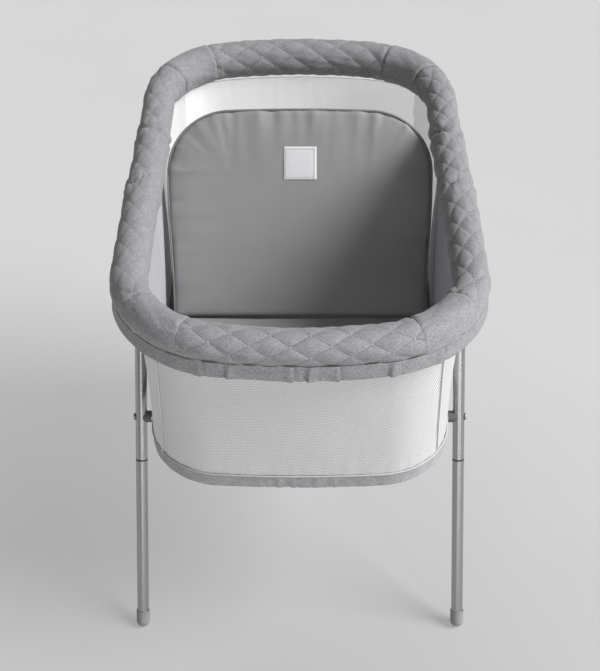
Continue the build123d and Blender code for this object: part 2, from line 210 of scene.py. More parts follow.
def tube_along(name, points, radius, material):
    """A round cord of cloth along a line of points, such as piping or a seam."""
    rows = []
    sides = 8
    last = len(points) - 1
    for i, point in enumerate(points):
        along = (points[min(i + 1, last)] - points[max(i - 1, 0)]).normalized()
        side = along.cross(Vector((0, 0, 1)))
        if side.length < 0.2:
            side = along.cross(Vector((0, 1, 0)))
        side.normalize()
        up = side.cross(along)
        ring = []
        for k in range(sides):
            angle = 2 * math.pi * k / sides
            ring.append(point + (side * math.cos(angle) + up * math.sin(angle)) * radius)
        rows.append(ring)
    return grid_object(name, rows, material, loop_columns=True)


def apply_modifiers(obj):
    bpy.context.view_layer.update()
    graph = bpy.context.evaluated_depsgraph_get()
    mesh = bpy.data.meshes.new_from_object(obj.evaluated_get(graph))
    obj.modifiers.clear()
    old = obj.data
    obj.data = mesh
    bpy.data.meshes.remove(old)


def thicken(sheet, thickness, offset=0):
    """Gives a sheet its thickness: half to each side, or all of it inwards at an offset of -1."""
    cloth = sheet.modifiers.new("cloth", "SOLIDIFY")
    cloth.thickness = thickness
    cloth.offset = offset
    apply_modifiers(sheet)


# ---- materials -------------------------------------------------------
class Nodes:
    """Short calls for building one material's nodes."""

    def __init__(self, name):
        self.material = bpy.data.materials.new(name)
        self.material.use_nodes = True
        self.tree = self.material.node_tree
        self.shader = self.tree.nodes["Principled BSDF"]

    def add(self, kind, **settings):
        node = self.tree.nodes.new(kind)
        for key, value in settings.items():
            if key in node.inputs:
                node.inputs[key].default_value = value
            else:
                setattr(node, key, value)
        return node

    def link(self, out, into):
        self.tree.links.new(out, into)

    def uv(self, name):
        return self.add("ShaderNodeUVMap", uv_map=name).outputs["UV"]

    def place(self):
        return self.add("ShaderNodeTexCoord").outputs["Object"]

    def scaled(self, vector, scale, turn=(0, 0, 0)):
        node = self.add("ShaderNodeMapping")
        node.inputs["Scale"].default_value = scale
        node.inputs["Rotation"].default_value = turn
        self.link(vector, node.inputs["Vector"])
        return node.outputs["Vector"]

    def noise(self, vector, scale, detail=2.0, roughness=0.5):
        node = self.add("ShaderNodeTexNoise", Scale=scale, Detail=detail, Roughness=roughness)
        self.link(vector, node.inputs["Vector"])
        return node.outputs["Fac"]

    def split(self, vector):
        node = self.add("ShaderNodeSeparateXYZ")
        self.link(vector, node.inputs[0])
        return node.outputs

    def wave(self, vector, scale, direction):
        node = self.add("ShaderNodeTexWave", bands_direction=direction, Scale=scale)
        self.link(vector, node.inputs["Vector"])
        return node.outputs["Fac"]

    def math(self, kind, a, b=None, clamp=False):
        node = self.add("ShaderNodeMath", operation=kind, use_clamp=clamp)
        for value, socket in ((a, node.inputs[0]), (b, node.inputs[1])):
            if value is None:
                continue
            if isinstance(value, (int, float)):
                socket.default_value = value
            else:
                self.link(value, socket)
        return node.outputs[0]

    def weighted(self, a, part_of_a, b, part_of_b):
        first = self.math("MULTIPLY", a, part_of_a)
        return self.math("ADD", first, self.math("MULTIPLY", b, part_of_b))

    def mark(self, gap, width):
        """1 on a line, falling to 0 at a width from it."""
        return self.math("SUBTRACT", 1.0, self.math("DIVIDE", gap, width), clamp=True)

    def nearest(self, value, places):
        """Distance from a value to the nearest of some places."""
        nearest = 1.0
        for place in places:
            gap = self.math("ABSOLUTE", self.math("SUBTRACT", value, place))
            nearest = self.math("MINIMUM", gap, nearest)
        return nearest

    def ramp(self, value, dark, pale, low=0.3, high=0.7):
        """Colour that goes from dark to pale as a value goes from low to high."""
        node = self.add("ShaderNodeValToRGB")
        stops = ((low, dark), (high, pale))
        for element, (position, colour) in zip(node.color_ramp.elements, stops):
            element.position = position
            element.color = (*colour, 1)
        self.link(value, node.inputs["Fac"])
        return node.outputs["Color"]

    def mix(self, factor, a, b):
        node = self.add("ShaderNodeMix", data_type="RGBA")
        for value, socket in ((factor, node.inputs[0]), (a, node.inputs[6]), (b, node.inputs[7])):
            if isinstance(value, (int, float)):
                socket.default_value = value
            elif isinstance(value, tuple):
                socket.default_value = (*value, 1)
            else:
                self.link(value, socket)
        return node.outputs[2]

    def bump(self, height, strength, distance):
        node = self.add("ShaderNodeBump", Strength=strength, Distance=distance)
        self.link(height, node.inputs["Height"])
        return node.outputs["Normal"]

    def finish(self, colour, normal=None, **values):
        if isinstance(colour, tuple):
            self.shader.inputs["Base Color"].default_value = (*colour, 1)
        else:
            self.link(colour, self.shader.inputs["Base Color"])
        if normal is not None:
            self.link(normal, self.shader.inputs["Normal"])
        for key, value in values.items():
            socket = self.shader.inputs[key.replace("_", " ")]
            if isinstance(value, (int, float, tuple)):
                socket.default_value = value
            else:
                self.link(value, socket)
        return self.material


def grey(value, tint=(1.0, 1.0, 1.02)):
    return tuple(value * t for t in tint)


def melange(n, base, contrast):
    """Heather cloth's colour and height: short pale and dark fibres along both threads, over a
    soft mottle."""
    where = n.uv("weave")
    warp = n.noise(n.scaled(where, (190, 600, 1)), 1.0, 3.0, 0.7)
    weft = n.noise(n.scaled(where, (600, 190, 1)), 1.0, 3.0, 0.7)
    mottle = n.noise(n.scaled(where, (60, 60, 1)), 1.0, 3.0)
    fibres = n.weighted(warp, 0.5, weft, 0.5)
    fibres = n.weighted(fibres, 0.86, mottle, 0.14)
    dark = grey(base * (1 - contrast), (1.0, 1.0, 1.06))
    pale = grey(base * (1 + contrast), (1.0, 1.0, 1.03))
    colour = n.ramp(fibres, dark, pale, 0.40, 0.60)
    threads = n.math("ADD", n.wave(where, 260, "X"), n.wave(where, 260, "Y"))
    return colour, n.weighted(threads, 0.25, fibres, 0.8)


def quilted_cloth():
    """Heather cloth with the quilting's stitch lines and small tacks where they cross, and painted
    shade in the stitch lines and the ring seams.
    """
    n = Nodes("quilted_heather")
    colour, height = melange(n, 0.268, 0.27)
    diamonds = n.split(n.uv("quilt"))
    marks = n.split(n.uv("marks"))
    quilted = marks["X"]
    near = []
    for out in ("X", "Y"):
        wrapped = n.math("FRACT", n.math("ADD", diamonds[out], 0.5))
        near.append(n.math("ABSOLUTE", n.math("SUBTRACT", wrapped, 0.5)))
    stitch = n.math("MULTIPLY", n.mark(n.math("MINIMUM", near[0], near[1]), 0.034), quilted)
    ring_gap = n.nearest(n.split(n.uv("weave"))["X"], [share * RIM_LENGTH for share in RINGS])
    ring = n.math("MULTIPLY", n.mark(ring_gap, 0.0013), marks["Y"])
    # painted shade: the stitch lines and the ring seams' pinched grooves are darkened towards dark
    # grey
    dark = n.math("ADD", n.math("MULTIPLY", stitch, 0.42), n.math("MULTIPLY", ring, 0.90), clamp=True)
    colour = n.mix(dark, colour, grey(0.13))
    tack = n.mark(n.math("ADD", near[0], near[1]), 0.045)
    tack = n.math("MULTIPLY", n.math("GREATER_THAN", tack, 0.25), quilted)
    colour = n.mix(n.math("MULTIPLY", tack, 0.75), colour, grey(0.66))
    height = n.math("SUBTRACT", height, n.math("MULTIPLY", stitch, 1.6))
    height = n.math("ADD", height, n.math("MULTIPLY", tack, 1.2))
    height = n.math("SUBTRACT", height, n.math("MULTIPLY", ring, 3.0))
    normal = n.bump(height, 0.55, 0.0006)
    return n.finish(colour, normal, Roughness=0.92, Sheen_Weight=0.25, Sheen_Roughness=0.5,
                    Specular_IOR_Level=0.2)


def plain_cloth(name, base, contrast, pleats=()):
    """Unquilted heather cloth on pieces with the weave map, with painted shade in its slanted
    pleats' folds."""
    n = Nodes(name)
    colour, height = melange(n, base, contrast)
    if pleats:
        place = n.split(n.uv("weave"))
        slanted = n.math("ADD", place["X"], n.math("MULTIPLY", place["Y"], PLEAT_SLANT))
        fold = n.mark(n.nearest(slanted, pleats), 0.0042)
        # painted shade: the pleats' folds are darkened
        colour = n.mix(n.math("MULTIPLY", fold, 0.42), colour, grey(base * 0.42))
        height = n.math("SUBTRACT", height, n.math("MULTIPLY", fold, 2.5))
    normal = n.bump(height, 0.5, 0.0006)
    return n.finish(colour, normal, Roughness=0.92, Sheen_Weight=0.2, Sheen_Roughness=0.5,
                    Specular_IOR_Level=0.2)


def net_cloth(name, thread_tone, eye_tone, eye_open, painted_glow):
    """Warp-knit net: rows of small dark eyes between pale threads, staggered. The dark eyes are
    painted shade of the basket's inside, seen through them. On the inner face paler threads and eyes
    and a painted glow are painted light, for the daylight that comes through the threads."""
    n = Nodes(name)
    where = n.uv("weave")
    eyes = n.split(n.scaled(where, (290, 270, 1), (0, 0, math.radians(4))))
    row = n.math("FLOOR", eyes["Y"])
    shift = n.math("MULTIPLY", n.math("MODULO", row, 2.0), 0.5)
    across = n.math("SUBTRACT", n.math("FRACT", n.math("ADD", eyes["X"], shift)), 0.5)
    down = n.math("SUBTRACT", n.math("FRACT", eyes["Y"]), 0.5)
    reach = n.math("ADD", n.math("MULTIPLY", across, across), n.math("MULTIPLY", down, down))
    eye = n.mark(reach, 0.15)
    patch = n.noise(n.scaled(where, (26, 16, 1)), 1.0, 4.0)
    patch = n.math("ADD", n.math("MULTIPLY", patch, 0.7), 0.45)
    thread = n.noise(n.scaled(where, (900, 900, 1)), 1.0, 2.0)
    tint = (1, 1, 0.995)
    pale = n.ramp(thread, grey(thread_tone * 0.88, tint), grey(thread_tone * 1.12, tint))
    # the eyes take the eye tone: painted shade on the outer net, painted light on the inner copy
    colour = n.mix(n.math("MULTIPLY", eye, patch), pale, grey(eye_tone, (1, 1, 0.99)))
    height = n.math("SUBTRACT", thread, n.math("MULTIPLY", eye, 1.5))
    normal = n.bump(height, 0.6, 0.0007)
    open_eye = n.math("SUBTRACT", 1.0, n.math("MULTIPLY", eye, eye_open), clamp=True)
    # painted light: the glow makes the inner copy paler, though the net is no lamp
    return n.finish(colour, normal, Roughness=0.85, Sheen_Weight=0.15, Specular_IOR_Level=0.25,
                    Alpha=open_eye, Emission_Color=(1.0, 1.0, 1.0, 1.0), Emission_Strength=painted_glow)


def smooth_lining(name, value, tint, painted_glow=0.0):
    """Fine smooth lining cloth, nearly without a visible weave, with a painted glow that paints light
    on it.
    """
    n = Nodes(name)
    where = n.uv("weave")
    fine = n.noise(n.scaled(where, (700, 700, 1)), 1.0, 2.0)
    mottle = n.noise(n.scaled(where, (22, 22, 1)), 1.0, 3.0)
    mixed = n.weighted(fine, 0.4, mottle, 0.6)
    colour = n.ramp(mixed, grey(value * 0.94, tint), grey(value * 1.05, tint))
    normal = n.bump(fine, 0.35, 0.0004)
    # painted light: the glow makes the cloth paler, though it is no lamp
    return n.finish(colour, normal, Roughness=0.8, Sheen_Weight=0.2, Specular_IOR_Level=0.25,
                    Emission_Color=(1.0, 1.0, 1.0, 1.0), Emission_Strength=painted_glow)


def mattress_cover():
    """Smooth mid-grey satin-weave cover, on meshes without UV maps."""
    n = Nodes("mattress_cover")
    where = n.place()
    fine = n.noise(n.scaled(where, (900, 260, 260)), 1.0, 2.0)
    mottle = n.noise(where, 14.0, 3.0)
    mixed = n.weighted(fine, 0.5, mottle, 0.5)
    tint = (1.0, 1.005, 1.01)
    colour = n.ramp(mixed, grey(0.265, tint), grey(0.300, tint))
    twill = n.wave(n.scaled(where, (1, 1, 1), (0, 0, math.radians(40))), 420, "X")
    normal = n.bump(n.weighted(fine, 0.6, twill, 0.4), 0.35, 0.0004)
    return n.finish(colour, normal, Roughness=0.62, Sheen_Weight=0.35, Sheen_Roughness=0.4,
                    Specular_IOR_Level=0.3)


def cord_cloth(name, value):
    """Fine cloth of the piping, cords, tapes and thread."""
    n = Nodes(name)
    fine = n.noise(n.place(), 900.0, 2.0)
    colour = n.ramp(fine, grey(value * 0.85), grey(value * 1.1))
    normal = n.bump(fine, 0.5, 0.0004)
    return n.finish(colour, normal, Roughness=0.8, Sheen_Weight=0.2)


def label_cloth():
    """Blank white label with a fine woven ground."""
    n = Nodes("label_white")
    ground = n.noise(n.scaled(n.place(), (1400, 500, 500)), 1.0, 2.0)
    colour = n.ramp(ground, grey(0.66), grey(0.74))
    normal = n.bump(ground, 0.4, 0.0003)
    return n.finish(colour, normal, Roughness=0.7, Sheen_Weight=0.1)


def satin_tube():
    """Satin grey-painted tube: fine flake, faint drawing lines and soft handling marks."""
    n = Nodes("satin_tube")
    where = n.place()
    flake = n.noise(where, 1600.0, 2.0)
    drawn = n.noise(n.scaled(where, (420, 420, 5)), 1.0, 3.0)
    marks = n.noise(where, 6.0, 2.0, 0.5)
    mixed = n.weighted(flake, 0.35, drawn, 0.65)
    colour = n.ramp(mixed, grey(0.36, (1, 1, 1.01)), grey(0.42, (1, 1, 1.01)))
    rough = n.math("ADD", 0.30, n.math("MULTIPLY", marks, 0.05))
    normal = n.bump(mixed, 0.02, 0.00005)
    return n.finish(colour, normal, Metallic=0.95, Roughness=rough, Specular_IOR_Level=0.5)


def moulded_plastic(name, value, rough=0.5):
    """Moulded plastic: fine spark-eroded grain with slight polish where it is handled."""
    n = Nodes(name)
    where = n.place()
    grain = n.noise(where, 1400.0, 3.0)
    wear = n.noise(where, 45.0, 4.0)
    colour = n.ramp(wear, grey(value * 0.93), grey(value * 1.07))
    roughness = n.math("ADD", rough - 0.08, n.math("MULTIPLY", wear, 0.16))
    normal = n.bump(grain, 0.25, 0.0003)
    return n.finish(colour, normal, Roughness=roughness, Specular_IOR_Level=0.45)


def bare_metal(name, value, rough):
    """Turned or drawn steel, with fine tool lines."""
    n = Nodes(name)
    lines = n.noise(n.scaled(n.place(), (900, 60, 60)), 1.0, 3.0)
    colour = n.ramp(lines, grey(value * 0.9), grey(value * 1.1))
    roughness = n.math("ADD", rough - 0.05, n.math("MULTIPLY", lines, 0.12))
    normal = n.bump(lines, 0.15, 0.0002)
    return n.finish(colour, normal, Metallic=1.0, Roughness=roughness)


def board_panel():
    """Dark pressed board, faintly mottled."""
    n = Nodes("board_panel")
    where = n.place()
    grain = n.noise(where, 500.0, 4.0)
    mottle = n.noise(where, 9.0, 3.0)
    colour = n.ramp(mottle, grey(0.16), grey(0.20))
    normal = n.bump(grain, 0.3, 0.0003)
    return n.finish(colour, normal, Roughness=0.7, Specular_IOR_Level=0.3)


BAND_CLOTH = plain_cloth("heather_band", 0.335, 0.34)
# the outer net's dark eyes are painted shade; its inner copy below is paler and glows, as painted
# light
NET = net_cloth("net_pale", 0.62, 0.30, 0.55, 0.0)
NET_INSIDE_PAINTED_LIGHT = net_cloth("net_inside_painted_light", 0.70, 0.62, 0.15, 0.42)
# painted light: the side cloth glows a little, and its rear inner copy is paler and glows more
SIDE_CLOTH = smooth_lining("side_cloth_pale", 0.44, (1.0, 1.0, 0.995), 0.12)
SIDE_INSIDE_PAINTED_LIGHT = smooth_lining("side_cloth_inside_painted_light", 0.50, (1.0, 1.0, 0.995), 0.30)
LINING = smooth_lining("lining_lavender", 0.42, (1.0, 0.99, 1.06))
COVER = mattress_cover()
PIPING = cord_cloth("piping_cloth", 0.21)
PIPING_PALE = cord_cloth("piping_pale", 0.50)
SIDE_TAPE = cord_cloth("side_tape_pale", 0.60)
THREAD = cord_cloth("thread_pale", 0.62)
LABEL = label_cloth()
TUBE = satin_tube()
GREY_PLASTIC = moulded_plastic("grey_plastic", 0.11)
CAP_PLASTIC = moulded_plastic("cap_plastic", 0.25, 0.45)
DARK_PLASTIC = moulded_plastic("dark_plastic", 0.05, 0.4)
STEEL = bare_metal("fastener_steel", 0.38, 0.45)
DRAWN_METAL = bare_metal("drawn_metal", 0.5, 0.4)
BOARD = board_panel()


# ---- the padded rim roll ---------------------------------------------
RIM_LENGTH = perimeter(RIM)
FRONT_SHARE = 0.75        # share of the way round at the middle of the front end
ROLL_STEPS = 800
ROLL_SIDES = 64

QUILT_ALONG = 0.056       # diamond width along the roll, nearly: a whole number go round
QUILT_PITCH = RIM_LENGTH / round(RIM_LENGTH / QUILT_ALONG)
QUILT_AROUND = math.radians(72)
QUILT_PHASE_X = -0.0127   # one crossing on the front roll is this far from the middle
QUILT_PHASE_ANGLE = math.radians(40)
LINE_GAP = 0.0300         # usual distance between two stitch lines
RING_X = (0.165, 0.232)   # ring seams at each corner, by their distance from the middle plane
CORNER_Y = 0.25           # the ring seams lie beyond this
CREASE_Y = (-0.026, 0.128)
SLOT_HALF = 0.050         # opening under each hub for the two legs

NEAR_BULGE = 0.0055       # the foot half of the padding stands out sideways by this
FAR_SWELL = 0.0045        # the far end's roll is fuller and sits a little out and up
FAR_SHIFT = 0.0060
FAR_LIFT = 0.0010


def along_from_front(share):
    """Distance along the rim from the middle of the front end, positive to the right."""
    return (share - FRONT_SHARE) * RIM_LENGTH


def ring_shares():
    """Shares of the way round at which the corner ring seams lie."""
    found = []
    steps = 4000
    previous = None
    for i in range(steps + 1):
        point, _ = outline_point(RIM, i / steps)
        here = abs(point.x)
        if previous is not None and abs(point.y) > CORNER_Y:
            for x in RING_X:
                if (previous - x) * (here - x) <= 0:
                    found.append(i / steps)
        previous = here
    return found


RINGS = ring_shares()
QUILTED = quilted_cloth()


def ring_distance(share):
    return min(abs((share - r + 0.5) % 1.0 - 0.5) for r in RINGS) * RIM_LENGTH


def quilt_place(share, angle):
    along = (along_from_front(share) - QUILT_PHASE_X) / QUILT_PITCH
    around = (angle - QUILT_PHASE_ANGLE) / QUILT_AROUND
    return along + around, along - around


def quilt_strength(point):
    """How strongly the quilting shows: full on the ends and the right, softer on the left and
    the front corner pieces, and not at all on the rear ones."""
    if abs(point.y) > CORNER_Y and RING_X[0] < abs(point.x) < RING_X[1]:
        return 0.0 if point.y > 0 else 0.35
    if abs(point.x) <= RING_X[0]:
        return 1.0
    return 0.85 if point.x > 0 else 0.5


def crease_depth(point, angle):
    """Folds across the roll beside the hubs, deepest on the inner side, and their puckers."""
    if abs(point.y) > 0.26:
        return 0.0
    depth = 0.0
    side = 1 if point.x > 0 else -1
    for index, y in enumerate(CREASE_Y):
        wander = 0.008 * math.sin(angle * 1.4 + side + index * 2)
        gap = point.y - y - wander
        inner = 0.55 + 0.45 * math.cos(angle - math.pi * (0.95 if index else 0.15))
        depth += 0.0065 * inner * bell(gap, 0.006) - 0.0022 * bell(abs(gap) - 0.018, 0.012)
        pucker = waves(point.y * 20 + index, angle * 2.6, side * 3.0)
        depth += 0.0030 * pucker * bell(gap, 0.032)
    return depth


def top_inner(angle):
    """1 on the roll's upper inner side, where the ring seams show most, falling to 0."""
    return smooth(math.cos(angle - math.radians(125)), 0.1, 0.8)


def far_end(point):
    return smooth(point.y, 0.22, 0.38)


def bulge_out(point):
    """How far the foot half of the padding stands out sideways."""
    sideways = smooth(abs(point.x), 0.10, 0.24) * (1 if point.x > 0 else -1)
    along = (1 - smooth(point.y, -0.20, 0.18)) * smooth(point.y, -0.37, -0.26)
    return Vector((NEAR_BULGE * sideways * along, 0, 0))


def roll_surface(share, angle):
    """A point of the roll's cloth, at an angle round the tube from its outer side."""
    point, outward = outline_point(RIM, share)
    strength = quilt_strength(point)
    puff = 1.0
    for place in quilt_place(share, angle):
        puff *= 1 - math.exp(-to_nearest(place) * LINE_GAP / 0.0042)
    far = far_end(point)
    radius = ROLL_R + FAR_SWELL * far - 0.0008 - 0.0030 * strength * (1 - puff)
    # each ring seam pinches the roll, and the cloth swells beside it
    gap = ring_distance(share)
    radius -= 0.0018 * bell(gap, 0.0024) * (0.25 + 0.75 * top_inner(angle))
    radius += 0.0008 * bell(gap - 0.008, 0.006) * top_inner(angle)
    radius -= crease_depth(point, angle)
    if 0.13 < point.y < 0.30 and abs(point.x) > 0.2:
        radius -= 0.0018 * smooth(point.y, 0.13, 0.15)
    # long wrinkles, slanting puckers and the gathers beside the seams
    s = share * RIM_LENGTH
    wrinkle = waves(s * 9, math.cos(angle) * 0.8, math.sin(angle) * 0.8)
    radius += 0.0011 * wrinkle
    slant = waves(s * 34 + angle * 2.2, angle * 1.1, 7.0, 2)
    soft = 0.0016 if strength == 0.0 else 0.0007
    radius += soft * slant
    gather = bell(gap - 0.006, 0.016) * waves(math.cos(angle) * 7, math.sin(angle) * 7, s * 4, 2)
    radius += 0.0012 * gather
    if point.y > 0.3 and abs(point.x) < RING_X[0]:
        # the far end's cover is pulled round the tube, so its inner face gathers in slants
        inner = bell(angle - math.radians(200), 0.9)
        radius -= 0.0030 * inner * max(0.0, waves(s * 16 + angle * 4.5, angle * 0.6, 2.0, 2))
    radius = min(radius, ROLL_R + 0.0035 + FAR_SWELL * far)
    centre = point + bulge_out(point) + Vector((0, FAR_SHIFT * far, RIM_Z + FAR_LIFT * far))
    return centre + outward * (radius * math.cos(angle)) + Vector((0, 0, radius * math.sin(angle)))


def make_roll():
    turn = 2 * math.pi / ROLL_SIDES
    rows = []
    for i in range(ROLL_STEPS):
        rows.append([roll_surface(i / ROLL_STEPS, turn * j) for j in range(ROLL_SIDES)])

    def weave(i, j):
        return (i / ROLL_STEPS * RIM_LENGTH, turn * j * ROLL_R)

    def quilt(i, j):
        return quilt_place(i / ROLL_STEPS, turn * j)

    def marks(i, j):
        """How strongly the quilting, and the ring seams, show on the cloth."""
        point, _ = outline_point(RIM, i / ROLL_STEPS)
        rings = 1.0 if point.y > 0 else 0.30 + 0.70 * top_inner(turn * j)
        return (quilt_strength(point), rings)

    maps = {"weave": weave, "quilt": quilt, "marks": marks}
    roll = grid_object("padded_rim_roll", rows, QUILTED, True, True, maps)
    open_slots(roll)
    face_outwards(roll)
    thicken(roll, 0.0016, -1)
    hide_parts("rim_roll_front", "rim_roll_rear", "hub_sleeve_left", "hub_sleeve_right")
    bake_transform(roll)


def open_slots(roll):
    """Cuts the leg openings out of the roll's underside."""
    bm = bmesh.new()
    bm.from_mesh(roll.data)
    doomed = []
    for face in bm.faces:
        centre = face.calc_center_median()
        beside = abs(centre.x) - RIM_HALF_WIDTH
        low = RIM_Z - centre.z > 0.62 * ROLL_R
        if abs(centre.y) < SLOT_HALF and low and abs(beside) < ROLL_R + NEAR_BULGE:
            doomed.append(face)
    bmesh.ops.delete(bm, geom=doomed, context="FACES")
    bm.to_mesh(roll.data)
    bm.free()


# ---- the pleated skirt -----------------------------------------------
SKIRT_TOP = RIM_Z - 0.0150
NOTCH_Y = 0.062
SKIRT_STEPS = 1100
SKIRT_LEVELS = 14
PLEAT_X = (-0.134, -0.101, -0.010, 0.010, 0.053, 0.124, 0.196)   # pleats across the front end
PLEAT_REACH = 0.25        # each end's pleats lie within this distance of its middle
PLEAT_SLANT = 0.14
SKIRT_ROW = 0.5           # the skirt's top edge lies here on its weave map
SKIRT_DROP = 0.026
PLEAT_SHIFT = PLEAT_SLANT * SKIRT_ROW + 0.002
SKIRT_CLOTH = plain_cloth("heather_skirt", 0.265, 0.34,
                          [FRONT_SHARE * RIM_LENGTH + x + PLEAT_SHIFT for x in PLEAT_X])


def pleat(along):
    """Outward push of the skirt's cloth at a distance along the rim: each pleat rises slowly
    and turns back sharply."""
    push = 0.0
    for index, x in enumerate(PLEAT_X):
        side = -1 if index % 2 else 1
        gap = side * (along - x)
        push += 0.0026 * smooth(gap, -0.016, 0.0) * (1 - smooth(gap, 0.0, 0.0018))
        push -= 0.0012 * bell(gap - 0.003, 0.0022)
    return push


def skirt_point(share, drop):
    """A point of the skirt, at a part of its drop from 0 at the top to 1. Its hem is notched
    beside the legs."""
    point, outward = outline_point(RIM, share)
    along = along_from_front(share)
    if along < -RIM_LENGTH / 2:
        along += RIM_LENGTH
    rear_along = along - RIM_LENGTH / 2 if along > 0 else along + RIM_LENGTH / 2
    push = pleat(along) if abs(along) < PLEAT_REACH else 0.0
    push += 0.8 * pleat(-rear_along) if abs(rear_along) < PLEAT_REACH else 0.0
    push += 0.0014 * waves(along * 16, drop * 0.8, 1.0, 2)
    notch = bell(abs(point.y) - NOTCH_Y, 0.006) if abs(point.x) > 0.2 else 0.0
    short = 0.0007 * waves(along * 9, 0.0, 9.0, 1) + 0.006 * notch
    z = SKIRT_TOP + (SKIRT_BOTTOM + 0.0006 - SKIRT_TOP) * drop + short * drop
    reach = min(0.0262 + 0.0016 * drop + push * (0.25 + 0.75 * drop), 0.0345)
    return point + bulge_out(point) + outward * reach + Vector((0, 0, z))


def make_skirt():
    rows = []
    for k in range(SKIRT_LEVELS + 1):
        drop = k / SKIRT_LEVELS
        rows.append([skirt_point(i / SKIRT_STEPS, drop) for i in range(SKIRT_STEPS)])

    def weave(k, i):
        return (i / SKIRT_STEPS * RIM_LENGTH, SKIRT_ROW + k / SKIRT_LEVELS * SKIRT_DROP)

    skirt = grid_object("pleated_skirt", rows, SKIRT_CLOTH, False, True, {"weave": weave})
    face_outwards(skirt)
    thicken(skirt, 0.0012)
    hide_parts("skirt_front", "skirt_rear")
    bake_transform(skirt)


# ---- the basket ------------------------------------------------------
SEAM_TOP = math.radians(44)       # the corner seams, from the basket's side round the corner
SEAM_FOOT = math.radians(33)
LINING_REACH = 0.150      # the lavender lining ends this far behind the hubs
WALL_DROP = BAG_TOP - BAND_TOP + 0.002
WALL_STEPS = 260
WALL_LEVELS = 44
WALL_CLOTHS = [NET, SIDE_CLOTH, LINING, SIDE_INSIDE_PAINTED_LIGHT, NET_INSIDE_PAINTED_LIGHT]


def basket_share(end, part):
    """Share of the way round for a part (0 to 1) of one end's half, from side to side."""
    return (0.0 if end > 0 else 0.5) + part * 0.5


def basket_point(share, z, inset=0.0):
    """A point of the basket's outer face, which curves in a little between rim and band."""
    depth = (BAG_TOP - z) / (BAG_TOP - BAG_BOTTOM)
    size = blend_sizes(BAG_RIM, BAG_FLOOR, depth)
    point, outward = outline_point(size, share)
    waist = 4 * depth * (1 - depth) if depth < 1 else 0.0
    inset += 0.0035 * waist
    inset += 0.0012 * waist * waves(point.x * 9, point.y * 9, z * 5, 2)
    return point - outward * inset + Vector((0, 0, z)), outward


def seam_share(end, side, level):
    """Share of the way round at which a corner seam runs, at a level from 0, top, to 1."""
    straight, arc, half_end, turn = quarter_lengths(BAG_RIM)
    run = straight + BAG_RIM[2] * (SEAM_TOP + (SEAM_FOOT - SEAM_TOP) * level)
    part = run / (straight + arc + half_end) / 4
    quarter = {(1, 1): part, (1, -1): 0.5 - part, (-1, -1): 0.5 + part, (-1, 1): 1 - part}
    return quarter[(end, side)]


def net_edges(end, level):
    return sorted((seam_share(end, 1, level), seam_share(end, -1, level)))


def wall_point(end, share, level):
    """A point of the wall, with raised corner seams and puckers under the rim and at the band."""
    z = BAG_TOP - WALL_DROP * level
    first, last = net_edges(end, level)
    gap = min(abs(share - first), abs(share - last)) * perimeter(BAG_RIM)
    ridge = 0.0014 * bell(gap, 0.0020) - 0.0004 * bell(gap - 0.005, 0.003)
    pucker = 0.0018 * bell(BAG_TOP - z, 0.05) * waves(share * 130, z * 3, 2.0, 2)
    near_band = bell(WALL_DROP * (1 - level), 0.030)
    pucker += 0.0012 * near_band * waves(share * 170, z * 3, 6.0, 2)
    return basket_point(share, z, 0.0010 - ridge - pucker)[0]


def make_wall(end_name):
    """Net end panel and smooth side panels of one half of the basket, with its lining side."""
    end = ENDS[end_name]
    rows = []
    for k in range(WALL_LEVELS + 1):
        level = k / WALL_LEVELS
        places = [basket_share(end, i / WALL_STEPS) for i in range(WALL_STEPS + 1)]
        rows.append([wall_point(end, share, level) for share in places])

    def weave(k, i):
        return (i / WALL_STEPS * perimeter(BAG_RIM) / 2, k / WALL_LEVELS * WALL_DROP)

    wall = grid_object(f"basket_wall_cloth_{end_name}", rows, NET, maps={"weave": weave})
    for cloth in WALL_CLOTHS[1:]:
        wall.data.materials.append(cloth)
    for polygon in wall.data.polygons:
        level, column = divmod(polygon.index, WALL_STEPS)
        first, last = net_edges(end, (level + 0.5) / WALL_LEVELS)
        share = basket_share(end, (column + 0.5) / WALL_STEPS)
        polygon.material_index = WALL_CLOTHS.index(NET if first < share < last else SIDE_CLOTH)
    turn_outwards(wall)
    thicken(wall, 0.0018, -1)
    line_inside(wall)
    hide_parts(f"basket_wall_{end_name}")
    length = perimeter(BAG_RIM) / 2
    return wall


def turn_outwards(sheet):
    """Turns a basket sheet's faces away from the basket's middle."""
    middle = Vector((0, 0, (BAG_TOP + BAG_BOTTOM) / 2))
    facing = sum(p.normal.dot(p.center - middle) * p.area for p in sheet.data.polygons)
    if facing < 0:
        sheet.data.flip_normals()


def line_inside(wall):
    """Inside the basket the net and the rear side panels get their paler copies, which are painted
    light, and the side panels show their lavender-grey lining elsewhere."""
    for polygon in wall.data.polygons:
        flat = Vector((polygon.center.x, polygon.center.y, 0))
        if polygon.normal.dot(flat) > 0:
            continue
        if WALL_CLOTHS[polygon.material_index] == NET:
            cloth = NET_INSIDE_PAINTED_LIGHT
        elif polygon.center.y < LINING_REACH:
            cloth = LINING
        else:
            cloth = SIDE_INSIDE_PAINTED_LIGHT
        polygon.material_index = WALL_CLOTHS.index(cloth)


EDGE_ROUND = 0.003        # radius round the basket's bottom edge


